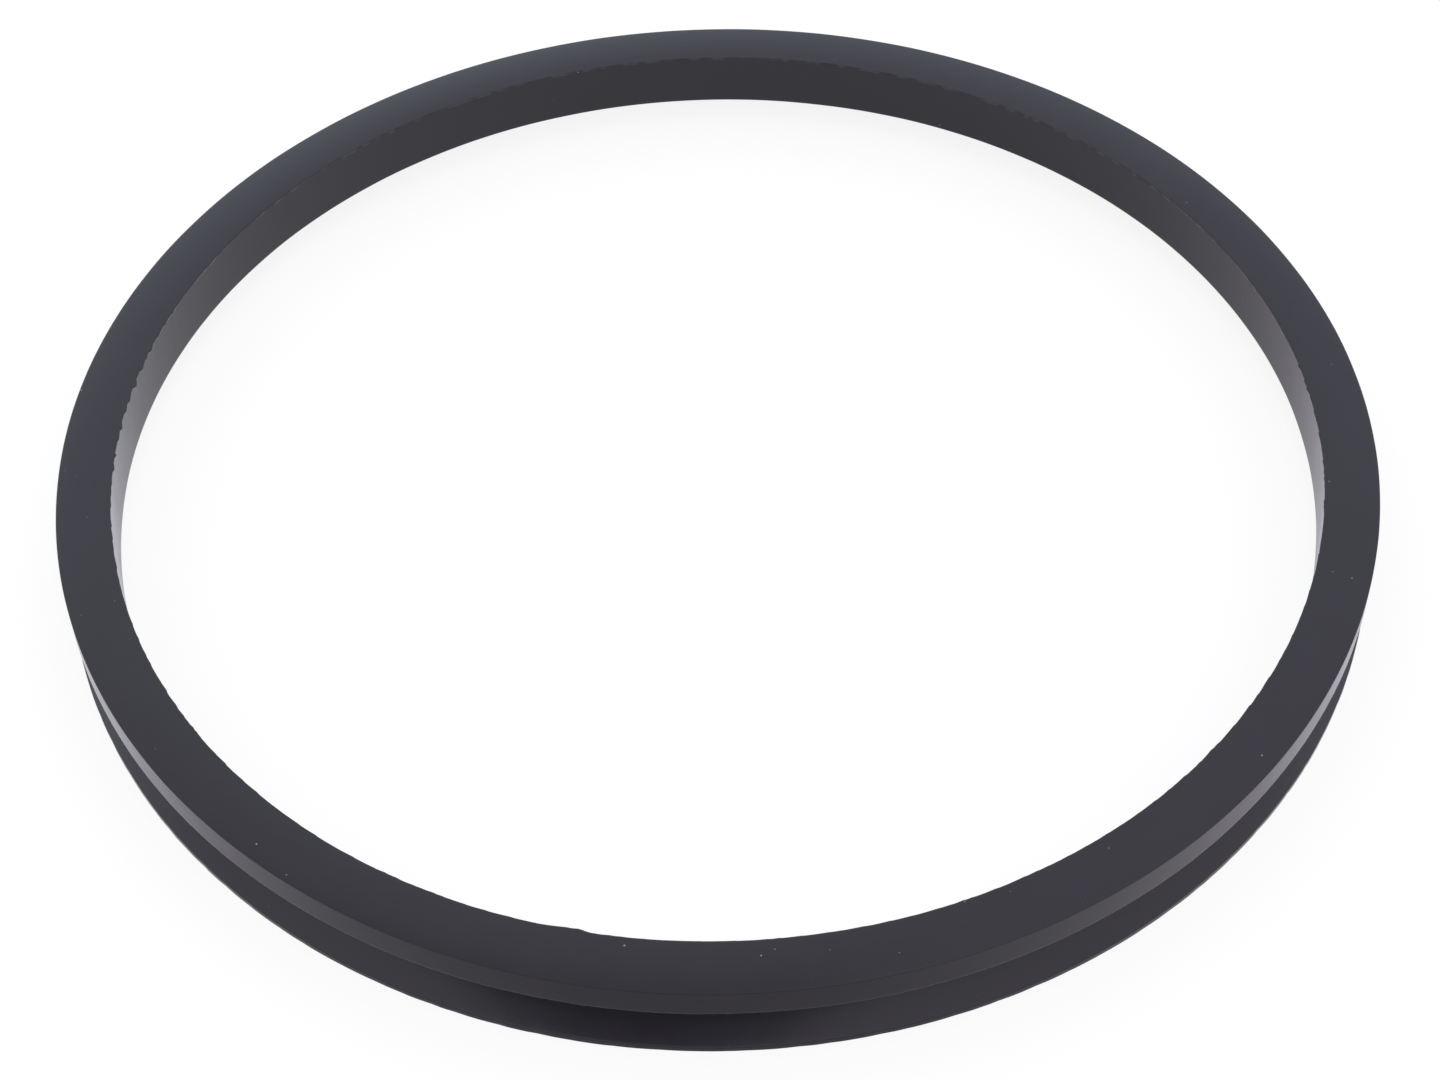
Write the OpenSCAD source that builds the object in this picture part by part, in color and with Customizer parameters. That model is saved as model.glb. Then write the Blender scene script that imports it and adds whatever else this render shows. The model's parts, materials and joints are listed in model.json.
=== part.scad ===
// V-ring axial shaft seal, one rubber moulding.
// It lies on the tip of its lip with its flat back face up. The origin is on the
// axis at the height of the lip's tip, and +Z runs along the axis to the back face.
// Section, from the back face down: a solid body with a plain bore and a straight
// outer land, a V notch cut in from the outside, and the conical sealing lip.

/* [Body] */
// Diameter of the bore as moulded, before it is stretched over its shaft
bore_d = 180; // [150:1:220]
// Radial height of the body, from the bore to the outer land
body_h = 8; // [7:0.1:10]
// Length of the bore, from the back face to the heel of the lip
bore_len = 9.3; // [8.5:0.1:11]
// Width of the straight land around the outside, from the back face down
land_w = 4.8; // [3.5:0.1:5.4]

/* [Lip] */
// Free width of the whole seal, from the back face to the tip of the lip
free_w = 13.8; // [12.8:0.1:16]
// Radial reach of the lip, from the bore to its tip
lip_reach = 8; // [7:0.1:10]
// Height of the blunt end of the lip
tip_h = 0.9; // [0.7:0.05:1.2]

/* [Notch] */
// Radial depth of the V notch, from the land to the sharp corner of its root
notch_depth = 5.4; // [4:0.1:6]
// Drop of the notch's upper flank, from the edge of the land to the root
notch_drop = 3.4; // [2.8:0.1:4]

/* [Edges] */
// Radius on both edges of the back face
back_edge_r = 0.35; // [0.2:0.05:0.8]
// Radius on the lower edge of the land
land_edge_r = 0.25; // [0.15:0.05:0.8]
// Radius in the root of the notch, where the lip hinges
root_r = 0.8; // [0.4:0.05:1]
// Radius on the upper edge of the lip's end, whose lower edge seals and stays sharp
tip_edge_r = 0.3; // [0.1:0.05:0.4]
// Radius on the heel of the lip, at the foot of the bore
heel_r = 0.4; // [0.2:0.05:0.8]

/* [Hidden] */

// Segments around the ring, and the largest step of the arcs in its section in degrees
$fn = 120;
arc_step = 15;

bore_r = bore_d / 2;
land_r = bore_r + body_h;
lip_r = bore_r + lip_reach;
land_z = free_w - land_w;

// Corners of the section in order, each as its point [radius from the axis, height]
// and the radius of its rounding
section_corners = [
    [[bore_r, free_w], back_edge_r],
    [[land_r, free_w], back_edge_r],
    [[land_r, land_z], land_edge_r],
    [[land_r - notch_depth, land_z - notch_drop], root_r],
    [[lip_r, tip_h], tip_edge_r],
    [[lip_r, 0], 0],
    [[bore_r, free_w - bore_len], heel_r]
];

function unit(v) = v / norm(v);

function turned(v, angle) =
    [v.x * cos(angle) - v.y * sin(angle), v.x * sin(angle) + v.y * cos(angle)];

// Points of the arc that rounds a corner between its neighbours a and b
function arc_points(a, corner, b, r) =
    let (
        to_a = unit(a - corner),
        to_b = unit(b - corner),
        half = acos(to_a * to_b) / 2,
        centre = corner + unit(to_a + to_b) * r / sin(half),
        spoke = corner + to_a * r / tan(half) - centre,
        sweep = 180 - 2 * half,
        way = sign(cross(to_b, to_a)),
        steps = ceil(sweep / arc_step)
    )
    [for (i = [0:steps]) centre + turned(spoke, way * sweep * i / steps)];

// Outline of the section, with a corner of radius 0 left sharp
function outline(corners) =
    let (n = len(corners))
    [for (i = [0:n - 1])
        let (corner = corners[i][0], r = corners[i][1])
        each r == 0
            ? [corner]
            : arc_points(corners[(i + n - 1) % n][0], corner, corners[(i + 1) % n][0], r)];

module v_ring() {
    color([0.10, 0.10, 0.11]) rotate_extrude() polygon(outline(section_corners));
}

v_ring();
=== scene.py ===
"""A V-ring axial shaft seal in black rubber. It lies on the tip of its lip, with its back face up."""
import json
from math import pi, radians, tan

import bpy
import numpy as np
from mathutils import Matrix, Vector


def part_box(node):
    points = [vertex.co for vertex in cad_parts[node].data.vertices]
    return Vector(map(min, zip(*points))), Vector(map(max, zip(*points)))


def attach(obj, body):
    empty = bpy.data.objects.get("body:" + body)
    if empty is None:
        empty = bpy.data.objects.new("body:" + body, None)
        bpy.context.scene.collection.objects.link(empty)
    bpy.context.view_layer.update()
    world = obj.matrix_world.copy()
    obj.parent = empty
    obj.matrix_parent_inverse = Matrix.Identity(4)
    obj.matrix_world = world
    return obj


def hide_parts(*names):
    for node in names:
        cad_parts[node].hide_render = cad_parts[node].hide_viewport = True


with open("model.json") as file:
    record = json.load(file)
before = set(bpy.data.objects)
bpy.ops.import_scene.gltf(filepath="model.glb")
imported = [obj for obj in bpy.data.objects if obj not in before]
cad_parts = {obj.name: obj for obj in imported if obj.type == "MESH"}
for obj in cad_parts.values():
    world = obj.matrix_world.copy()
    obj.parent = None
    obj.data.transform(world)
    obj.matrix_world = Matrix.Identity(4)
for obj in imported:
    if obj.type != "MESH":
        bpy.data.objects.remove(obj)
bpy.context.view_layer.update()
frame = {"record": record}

MM = 0.001

# The camera, fitted to the photograph's edges: sensor and lens in millimetres, angles in degrees
SENSOR_W = 36.0
LENS = 70.08
CAMERA_PLACE = (0.0002, -0.2919, 0.3156)
CAMERA_DOWN = 48.09
CAMERA_ROLL = -1.4
CAMERA_NEAR = 0.01
CAMERA_FAR = 20

# The section, which repeats the part's sizes. The rest of it comes from the frame.
LAND_W = 4.8 * MM
BORE_LEN = 9.3 * MM
TIP_H = 0.9 * MM
NOTCH_DEPTH = 5.4 * MM
NOTCH_DROP = 3.4 * MM
ROOT_R = 0.8 * MM
HEEL_R = 0.4 * MM

# Edges that moulding and trimming left crisper than the part's own roundings
BORE_EDGE_R = 0.06 * MM
BACK_EDGE_R = 0.08 * MM
LAND_EDGE_R = 0.12 * MM
TIP_EDGE_R = 0.15 * MM
SEAL_EDGE_R = 0.05 * MM

# The sealing edge rests on the floor, so its corner before rounding lies this far below the floor
SEAL_DROP = 0.04 * MM

# How far the back face and the lip's upper side stand out halfway across
CROWN = 0.16 * MM
LIP_CROWN = 0.1 * MM

# The surface's waves: the ring's mean radius, their height, lengths and number, and how far across
# the section they lean by about a radian
MEAN_R = 94 * MM
WAVE_H = 0.012 * MM
WAVE_LENGTHS = (12 * MM, 60 * MM)
WAVE_COUNT = 14
WAVE_LEAN = 4 * MM

# How far the trimming marks at an edge reach into the faces beside it
TOOTH_REACH = 0.36 * MM
LAND_REACH = 0.4 * MM
TIP_REACH = 2 * MM

# The marks themselves, each drawn between two values: how far it lies from the one before,
# how long its slow and its steep side are, and how deep it is
BORE_TEETH = {
    "pitch": (0.9 * MM, 4.4 * MM),
    "rise": (0.6 * MM, 3.0 * MM),
    "fall": (0.2 * MM, 0.6 * MM),
    "depth": (0.12 * MM, 0.75 * MM),
}
LAND_BITES = {
    "pitch": (2 * MM, 6 * MM),
    "rise": (0.6 * MM, 2 * MM),
    "fall": (0.3 * MM, 1 * MM),
    "depth": (0.02 * MM, 0.1 * MM),
}
TIP_BITES = {
    "pitch": (2 * MM, 7 * MM),
    "rise": (0.6 * MM, 3 * MM),
    "fall": (0.6 * MM, 3 * MM),
    "depth": (0.01 * MM, 0.07 * MM),
}

# The rough stretches between smoother ones, as a share of the marks' depth
ROUGH_MEAN = 0.85
ROUGH_SWING = 0.4
ROUGH_LEAST = 0.6
ROUGH_LENGTHS = (25 * MM, 110 * MM)
ROUGH_COUNT = 5

# How strong the teeth along the bore's top edge are, by the angle round the ring in degrees
TEETH_ROUND = {
    0: 0.35,
    30: 0.45,
    90: 0.7,
    150: 0.35,
    163: 0.55,
    172: 1.1,
    182: 1.15,
    187: 0.3,
    230: 0.15,
    320: 0.15,
    360: 0.35,
}

# A sliver of flash that the trimming missed, on the bore's top edge near the camera
FLASH_AT = radians(-102.4)
FLASH_RISE = 5.5 * MM
FLASH_FALL = 1.8 * MM
FLASH_H = 0.38 * MM

# How finely the ring is divided, and where the section's flanks have points: distances from a
# flank's start, or from its end if below 0. Those held close to an end keep the flank's shading flat,
# and three of them keep the bore's teeth short.
AROUND = 2040
HOLD = 0.2 * MM
AT_ENDS = (HOLD, -HOLD)
AT_TEETH = (0.13 * MM, TOOTH_REACH - 0.1 * MM, TOOTH_REACH)
ON_BACK = (*AT_TEETH, 1.8 * MM, 3.8 * MM, -1.8 * MM, -HOLD)
ON_LIP = (HOLD, 3.0 * MM, 5.0 * MM, -HOLD)
ON_BORE = (HOLD, 4.4 * MM, *(-x for x in reversed(AT_TEETH)))

# In the looks below, a pair of bare numbers is where a blend starts and ends, and two numbers more are
# what it goes from and to.

# The rubber's patches, its grain and the mould's turned lines, which are far finer across the section
BLACK_LOW = (0.0095, 0.0080, 0.0132)
BLACK_HIGH = (0.0132, 0.0115, 0.0170)
PATCH_SIZE = 9 * MM
PATCH_ROUGHNESS = (0.3, 0.7, 0.13, 0.2)
GRAIN_SIZE = 0.22 * MM
LINE_SIZE = 0.9
LINE_FINENESS = 2.2 / MM

# The relief that they make together, and the share of each in it
RELIEF_H = 0.012 * MM
PATCH_SHARE = 3.0
GRAIN_SHARE = 0.35
LINE_SHARE = 0.4

# Dust: the cells that may hold a speck each, how many of them stay clean from the front to the back,
# how strong a speck is, and its radius as a share of a cell
DUST_COLOUR = (0.30, 0.30, 0.29)
DUST_CELL = 2.2 * MM
DUST_CLEAN = (-0.02, 0.08, 0.66, 0.95)
DUST_STRENGTH = (0.2, 0.9, 0.15, 1.1)
DUST_RADIUS = (0.065, 0.045)
DUST_ROUGHNESS = 0.5

# What the eye sees of the room, and of the light that the floor adds
WHITE = (1, 1, 1)

# The floor's own grey, and the light it adds for the eye and for what shows in gloss. In gloss this glow
# holds painted shade that fades it towards the near edge, and painted light at the far left, a little
# cooler.
FLOOR_REACH = 3.0
FLOOR_GREY = 0.14
FLOOR_TO_EYE = 0.868
FLOOR_AWAY = (0.16, 1, 0)
PAINTED_SHADE_NEAR = (-0.125, -0.055)
GLOSS_NEAR = 0.246
FLOOR_LEFT = (-0.6, 0.8, 0)
GLOSS_PAINTED_LEFT_LIGHT = (0.0, 0.1, 0.67, 0.83)
TINT_TO_LEFT = (0.0, 0.075)
TINT_RIGHT = (1.0, 0.965, 1.05)
TINT_LEFT = (1.0, 1.01, 1.065)

# The room's colours, and where one passes into the next by the parts of a direction, which are x to
# the right, y away from the camera and z up
HORIZON_LEFT = (1.24, 1.36, 1.53)
HORIZON_RIGHT = (1.04, 1.13, 1.28)
HORIZON_NEAR = (1.12, 1.09, 1.19)
OVERHEAD = (0.91, 0.89, 0.97)
ZENITH = (0.78, 0.75, 0.83)
UPPER_RIGHT = (1.10, 1.06, 1.18)
FRONT = (0.24, 0.24, 0.26)
FRONT_WAY = (-0.16, -0.64, 0.75)
X_TO_RIGHT = (-0.14, 0.08)
Y_TO_FAR = (-0.1, 0.35)
Z_TO_HORIZON = (0.92, 0.5)
Z_TO_ZENITH = (0.82, 0.92)
X_TO_UPPER_RIGHT = (0.03, 0.12)
Z_TO_UPPER_RIGHT = (0.7, 0.8)
WAY_TO_FRONT = (0.88, 0.99)

# The lamp
LAMP_PLACE = (0, -0.35, 1.1)
LAMP_SIZE = 0.9
LAMP_POWER = 0.8

RNG = np.random.default_rng(7)


def unit(v):
    return v / np.hypot(*v)


def rounded(a, corner, b, r, steps):
    """Points of the arc that rounds a corner between its neighbours a and b."""
    to_a, to_b = unit(a - corner), unit(b - corner)
    half = np.arccos(to_a @ to_b) / 2
    centre = corner + unit(to_a + to_b) * r / np.sin(half)
    spoke = corner + to_a * r / tan(half) - centre
    sweep = (pi - 2 * half) * np.sign(to_b[0] * to_a[1] - to_b[1] * to_a[0])
    turns = np.linspace(0, sweep, steps + 1)
    return [centre + np.array([spoke[0] * np.cos(t) - spoke[1] * np.sin(t),
                               spoke[0] * np.sin(t) + spoke[1] * np.cos(t)]) for t in turns]


def along(a, b, places):
    """Points of a straight flank at the given distances from its start, or from its end if below 0."""
    length = np.hypot(*(b - a))
    return [a + (b - a) * (x / length + (x < 0)) for x in places]


def bow(flank, a, b, height):
    """Bend a flank between the corners a and b so that it stands out by the given height halfway."""
    way = b - a
    out = np.array([-way[1], way[0]]) / np.hypot(*way)
    for point in flank:
        u = (point - a) @ way / (way @ way)
        point += out * height * 4 * u * (1 - u)


def section():
    """The moulding's corners by name, and its whole outline as points of radius and height."""
    low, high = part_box("v_ring")
    mounts = {m["name"]: m for m in frame["record"]["mounts"]}
    bore_r = mounts["bore"]["dims"]["r_mm"] * MM
    land_r, top = high[0], high[2]
    back, land_z = top - CROWN, top - LAND_W

    # Each corner's place, its rounding, the steps of its arc, and where the flank after it has points
    corners = {
        "back_in": ((bore_r, back), BORE_EDGE_R, 2, ON_BACK),
        "back_out": ((land_r, back), BACK_EDGE_R, 3, AT_ENDS),
        "land_edge": ((land_r, land_z), LAND_EDGE_R, 2, AT_ENDS),
        "root": ((land_r - NOTCH_DEPTH, land_z - NOTCH_DROP), ROOT_R, 4, ON_LIP),
        "tip_top": ((land_r, TIP_H), TIP_EDGE_R, 2, AT_ENDS),
        "tip_low": ((land_r, low[2] - SEAL_DROP), SEAL_EDGE_R, 2, AT_ENDS),
        "heel": ((bore_r, top - BORE_LEN), HEEL_R, 3, ON_BORE),
    }
    names = list(corners)
    points, radii, steps, places = zip(*corners.values())
    points = [np.array(p) for p in points]
    n = len(points)
    arcs = [rounded(points[i - 1], points[i], points[(i + 1) % n], radii[i], steps[i]) for i in range(n)]
    flanks = [along(arcs[i][-1], arcs[(i + 1) % n][0], places[i]) for i in range(n)]
    for name, height in (("back_in", CROWN), ("root", LIP_CROWN)):
        i = names.index(name)
        bow(flanks[i], points[i], points[i + 1], height)
    outline = np.concatenate([side for pair in zip(arcs, flanks) for side in pair])
    return dict(zip(names, points)), outline


def waves(angle, place, lengths, count):
    """Smooth noise, mostly from -1 to 1, round the ring and across its section, made of whole waves."""
    total = np.zeros((len(place), len(angle)))
    for _ in range(count):
        k = round(2 * pi * MEAN_R / RNG.uniform(*lengths))
        phase, tilt = RNG.uniform(0, 2 * pi), RNG.normal() / WAVE_LEAN
        total += np.cos(k * angle[None, :] + phase + tilt * place[:, None])
    return total / np.sqrt(count)


def bites(angle, radius, pitch, rise, fall, depth):
    """Ragged marks left along an edge by trimming: rough stretches between smoother ones."""
    total = np.zeros(len(angle))
    around = 2 * pi * radius
    swell = waves(angle, np.zeros(1), ROUGH_LENGTHS, ROUGH_COUNT)[0]
    rough = np.clip(ROUGH_MEAN + ROUGH_SWING * swell, ROUGH_LEAST, 1)
    at = 0.0
    while at < around:
        at += RNG.uniform(*pitch)
        before, after = RNG.uniform(*rise), RNG.uniform(*fall)
        past = (angle * radius - at + around / 2) % around - around / 2
        total += RNG.uniform(*depth) * np.clip(1 - np.where(past < 0, -past / before, past / after), 0, 1)
    return total * rough


def remnant(angle, radius):
    """How much of its height a sliver of flash stands out at each angle: a slow rise and a steep end."""
    past = (angle - FLASH_AT + pi) % (2 * pi) - pi
    return np.clip(np.where(past < 0, 1 + past * radius / FLASH_RISE, 1 - past * radius / FLASH_FALL), 0, 1)


def near(outline, corner, reach):
    """How much each point of the outline shares in what happens at a corner, from 1 to 0 at its reach."""
    return np.clip(1 - np.hypot(*(outline - corner).T) / reach, 0, 1)[:, None] ** 2


def make_ring():
    """The whole moulding as one closed mesh, with the small faults of a trimmed rubber part."""
    corners, outline = section()
    angle = np.linspace(0, 2 * pi, AROUND, endpoint=False)
    r = np.repeat(outline[:, :1], AROUND, axis=1)
    z = np.repeat(outline[:, 1:], AROUND, axis=1)
    path = np.concatenate([[0], np.cumsum(np.hypot(*np.diff(outline, axis=0).T))])

    lump = waves(angle, path, WAVE_LENGTHS, WAVE_COUNT) * WAVE_H
    inner = near(outline, corners["back_in"], TOOTH_REACH)
    land = near(outline, corners["land_edge"], LAND_REACH)
    tip = near(outline, corners["tip_low"], TIP_REACH)
    bore_r, land_r = corners["back_in"][0], corners["land_edge"][0]
    strength = np.interp(np.degrees(angle), list(TEETH_ROUND), list(TEETH_ROUND.values()))
    teeth = strength * bites(angle, bore_r, **BORE_TEETH)
    r -= inner * (teeth + remnant(angle, bore_r) * FLASH_H)
    z -= land * bites(angle, land_r, **LAND_BITES)
    r -= tip * bites(angle, land_r, **TIP_BITES)

    # The waves only go inwards, so that the ring stays inside the part's outer radius
    r += lump - lump.max()

    rings = len(outline)
    xyz = np.stack([r * np.cos(angle), r * np.sin(angle), z], axis=-1).reshape(-1, 3)
    i, j = np.meshgrid(np.arange(rings), np.arange(AROUND), indexing="ij")
    i2, j2 = (i + 1) % rings, (j + 1) % AROUND
    quads = np.stack([i * AROUND + j, i2 * AROUND + j, i2 * AROUND + j2, i * AROUND + j2], axis=-1)
    mesh = bpy.data.meshes.new("v_ring_rubber")
    mesh.from_pydata(xyz.tolist(), [], quads.reshape(-1, 4).tolist())
    mesh.validate()
    mesh.shade_smooth()
    ring = bpy.data.objects.new("v_ring_rubber", mesh)
    bpy.context.scene.collection.objects.link(ring)
    return ring


def add_node(tree, kind, inputs=(), **settings):
    """A node with its settings made, and each named input set to a value or linked to a socket."""
    node = tree.nodes.new(kind)
    for name, value in settings.items():
        setattr(node, name, value)
    for name, value in dict(inputs).items():
        if isinstance(value, bpy.types.NodeSocket):
            tree.links.new(value, node.inputs[name])
        else:
            node.inputs[name].default_value = value
    return node


def calc(tree, operation, *values, clamp=False):
    node = add_node(tree, "ShaderNodeMath", enumerate(values), operation=operation, use_clamp=clamp)
    return node.outputs[0]


def dot(tree, vector, way):
    """How far a vector goes along the given way."""
    node = add_node(tree, "ShaderNodeVectorMath", {0: vector, 1: way}, operation="DOT_PRODUCT")
    return node.outputs["Value"]


def ramp(tree, value, low, high, to_low=0.0, to_high=1.0):
    """The value from low to high eased onto another range."""
    inputs = {"Value": value, "From Min": low, "From Max": high, "To Min": to_low, "To Max": to_high}
    return add_node(tree, "ShaderNodeMapRange", inputs, interpolation_type="SMOOTHSTEP").outputs[0]


def noise(tree, vector, size, detail, rough=0.5):
    """Noise whose lumps are about the given size in metres."""
    inputs = {"Vector": vector, "Scale": 1 / size, "Detail": detail, "Roughness": rough}
    return add_node(tree, "ShaderNodeTexNoise", inputs).outputs["Fac"]


def mix_colour(tree, factor, a, b):
    """Two colours mixed. The node's inputs 6 and 7 are those that take a colour."""
    node = add_node(tree, "ShaderNodeMix", {"Factor": factor}, data_type="RGBA")
    for socket, value in ((node.inputs[6], a), (node.inputs[7], b)):
        if isinstance(value, bpy.types.NodeSocket):
            tree.links.new(value, socket)
        else:
            socket.default_value = (*value, 1)
    return node.outputs[2]


def new_material(name):
    material = bpy.data.materials.new(name)
    material.use_nodes = True
    tree = material.node_tree
    tree.nodes.clear()
    return material, tree


def mould_lines(tree, xyz):
    """The marks of a turned mould, which run round the axis: fine across the section, long around it."""
    squares = [calc(tree, "MULTIPLY", side, side) for side in xyz[:2]]
    reach = calc(tree, "SQRT", calc(tree, "ADD", *squares))
    turned = add_node(tree, "ShaderNodeCombineXYZ", {
        0: calc(tree, "DIVIDE", xyz[0], reach),
        1: calc(tree, "DIVIDE", xyz[1], reach),
        2: calc(tree, "MULTIPLY", calc(tree, "SUBTRACT", reach, xyz[2]), LINE_FINENESS),
    }).outputs[0]
    return noise(tree, turned, LINE_SIZE, detail=3.0)


def specks(tree, place, depth):
    """Specks of dust, some fainter: the few cells of a scatter whose points lie on the surface."""
    dust = add_node(tree, "ShaderNodeTexVoronoi", {"Vector": place, "Scale": 1 / DUST_CELL})
    by_cell = add_node(tree, "ShaderNodeSeparateColor", {0: dust.outputs["Color"]}).outputs
    chosen = calc(tree, "GREATER_THAN", by_cell[0], ramp(tree, depth, *DUST_CLEAN))
    strength = calc(tree, "MULTIPLY", chosen, ramp(tree, by_cell[1], *DUST_STRENGTH))
    return calc(tree, "MULTIPLY", ramp(tree, dust.outputs["Distance"], *DUST_RADIUS), strength)


def rubber():
    """Smooth moulded black rubber: hazy patches, a fine grain, turned mould lines and a little dust."""
    material, tree = new_material("black_rubber")
    place = add_node(tree, "ShaderNodeTexCoord").outputs["Object"]
    xyz = add_node(tree, "ShaderNodeSeparateXYZ", {0: place}).outputs
    haze = noise(tree, place, PATCH_SIZE, detail=4.0, rough=0.6)
    fine = noise(tree, place, GRAIN_SIZE, detail=3.0, rough=0.6)
    lines = mould_lines(tree, xyz)
    speck = specks(tree, place, xyz[1])

    clean = mix_colour(tree, haze, BLACK_LOW, BLACK_HIGH)
    colour = mix_colour(tree, speck, clean, DUST_COLOUR)
    bare = ramp(tree, haze, *PATCH_ROUGHNESS)
    roughness = calc(tree, "ADD", bare, calc(tree, "MULTIPLY", speck, DUST_ROUGHNESS), clamp=True)

    relief = calc(tree, "MULTIPLY", fine, GRAIN_SHARE)
    relief = calc(tree, "ADD", relief, calc(tree, "MULTIPLY", lines, LINE_SHARE))
    relief = calc(tree, "ADD", relief, calc(tree, "MULTIPLY", haze, PATCH_SHARE))
    bump = add_node(tree, "ShaderNodeBump", {"Height": relief, "Strength": 1.0, "Distance": RELIEF_H})

    shader = add_node(tree, "ShaderNodeBsdfPrincipled", {
        "Base Color": colour,
        "Roughness": roughness,
        "Normal": bump.outputs[0],
        "IOR": 1.45,
        "Sheen Weight": 0.5,
        "Sheen Roughness": 0.25,
    })
    add_node(tree, "ShaderNodeOutputMaterial", {"Surface": shader.outputs[0]})
    return material


def make_floor():
    """A white floor that keeps a soft shadow, brighter to the eye than its own colour gives.

    What gloss shows of it holds painted shade towards the near edge and painted light at the far left.
    """
    material, tree = new_material("white_floor")
    place = add_node(tree, "ShaderNodeTexCoord").outputs["Object"]
    leftward = dot(tree, place, FLOOR_LEFT)
    path = add_node(tree, "ShaderNodeLightPath").outputs

    # Painted light and shade in the glow that gloss shows: brighter at the far left, fading into painted
    # shade towards the near edge
    far = ramp(tree, leftward, *GLOSS_PAINTED_LEFT_LIGHT)
    painted_gloss_glow = ramp(tree, dot(tree, place, FLOOR_AWAY), *PAINTED_SHADE_NEAR, GLOSS_NEAR, far)
    to_eye = calc(tree, "MULTIPLY", path["Is Camera Ray"], FLOOR_TO_EYE)
    strength = calc(tree, "MAXIMUM", to_eye, calc(tree, "MULTIPLY", path["Is Glossy Ray"], painted_gloss_glow))
    # The painted light at the far left is a little cooler in gloss; the eye sees the glow white
    tint = mix_colour(tree, ramp(tree, leftward, *TINT_TO_LEFT), TINT_RIGHT, TINT_LEFT)
    tint = mix_colour(tree, path["Is Camera Ray"], tint, WHITE)

    grey = (FLOOR_GREY, FLOOR_GREY, FLOOR_GREY, 1)
    paper = add_node(tree, "ShaderNodeBsdfPrincipled", {"Base Color": grey, "Roughness": 0.9})
    lift = add_node(tree, "ShaderNodeEmission", {"Color": tint, "Strength": strength})
    both = add_node(tree, "ShaderNodeAddShader", {0: paper.outputs[0], 1: lift.outputs[0]})
    add_node(tree, "ShaderNodeOutputMaterial", {"Surface": both.outputs[0]})

    mesh = bpy.data.meshes.new("floor")
    square = [(x * FLOOR_REACH, y * FLOOR_REACH, 0) for x, y in ((-1, -1), (1, -1), (1, 1), (-1, 1))]
    mesh.from_pydata(square, [], [(0, 1, 2, 3)])
    mesh.materials.append(material)
    floor = bpy.data.objects.new("floor", mesh)
    bpy.context.scene.collection.objects.link(floor)


def make_world():
    """A pale room: bright and slightly blue low down behind the object, dimmer overhead and in front."""
    world = bpy.data.worlds.new("studio")
    bpy.context.scene.world = world
    world.use_nodes = True
    tree = world.node_tree
    tree.nodes.clear()
    place = add_node(tree, "ShaderNodeTexCoord").outputs["Generated"]
    x, y, z = add_node(tree, "ShaderNodeSeparateXYZ", {0: place}).outputs

    horizon = mix_colour(tree, ramp(tree, x, *X_TO_RIGHT), HORIZON_LEFT, HORIZON_RIGHT)
    horizon = mix_colour(tree, ramp(tree, y, *Y_TO_FAR), HORIZON_NEAR, horizon)
    upper_right = calc(tree, "MULTIPLY", ramp(tree, x, *X_TO_UPPER_RIGHT), ramp(tree, z, *Z_TO_UPPER_RIGHT))
    overhead = mix_colour(tree, ramp(tree, z, *Z_TO_ZENITH), OVERHEAD, ZENITH)
    overhead = mix_colour(tree, upper_right, overhead, UPPER_RIGHT)
    room = mix_colour(tree, ramp(tree, z, *Z_TO_HORIZON), overhead, horizon)
    room = mix_colour(tree, ramp(tree, dot(tree, place, FRONT_WAY), *WAY_TO_FRONT), room, FRONT)
    shown = mix_colour(tree, add_node(tree, "ShaderNodeLightPath").outputs["Is Camera Ray"], room, WHITE)
    background = add_node(tree, "ShaderNodeBackground", {"Color": shown})
    add_node(tree, "ShaderNodeOutputWorld", {"Surface": background.outputs[0]})


def make_lamp():
    """One broad soft lamp overhead."""
    light = bpy.data.lights.new("softbox", "AREA")
    light.shape = "DISK"
    light.size = LAMP_SIZE
    light.energy = LAMP_POWER
    lamp = bpy.data.objects.new("softbox", light)
    lamp.location = LAMP_PLACE
    bpy.context.scene.collection.objects.link(lamp)


def make_camera():
    data = bpy.data.cameras.new("camera")
    data.sensor_width = SENSOR_W
    data.lens = LENS
    data.clip_start = CAMERA_NEAR
    data.clip_end = CAMERA_FAR
    camera = bpy.data.objects.new("camera", data)
    tilt = Matrix.Rotation(radians(90 - CAMERA_DOWN), 4, "X")
    roll = Matrix.Rotation(radians(CAMERA_ROLL), 4, "Z")
    camera.matrix_world = Matrix.Translation(CAMERA_PLACE) @ tilt @ roll
    bpy.context.scene.collection.objects.link(camera)
    bpy.context.scene.camera = camera


ring = make_ring()
ring.data.materials.append(rubber())
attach(ring, "root")
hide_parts("v_ring")

make_floor()
make_world()
make_lamp()
make_camera()
bpy.context.scene.view_settings.view_transform = "Standard"
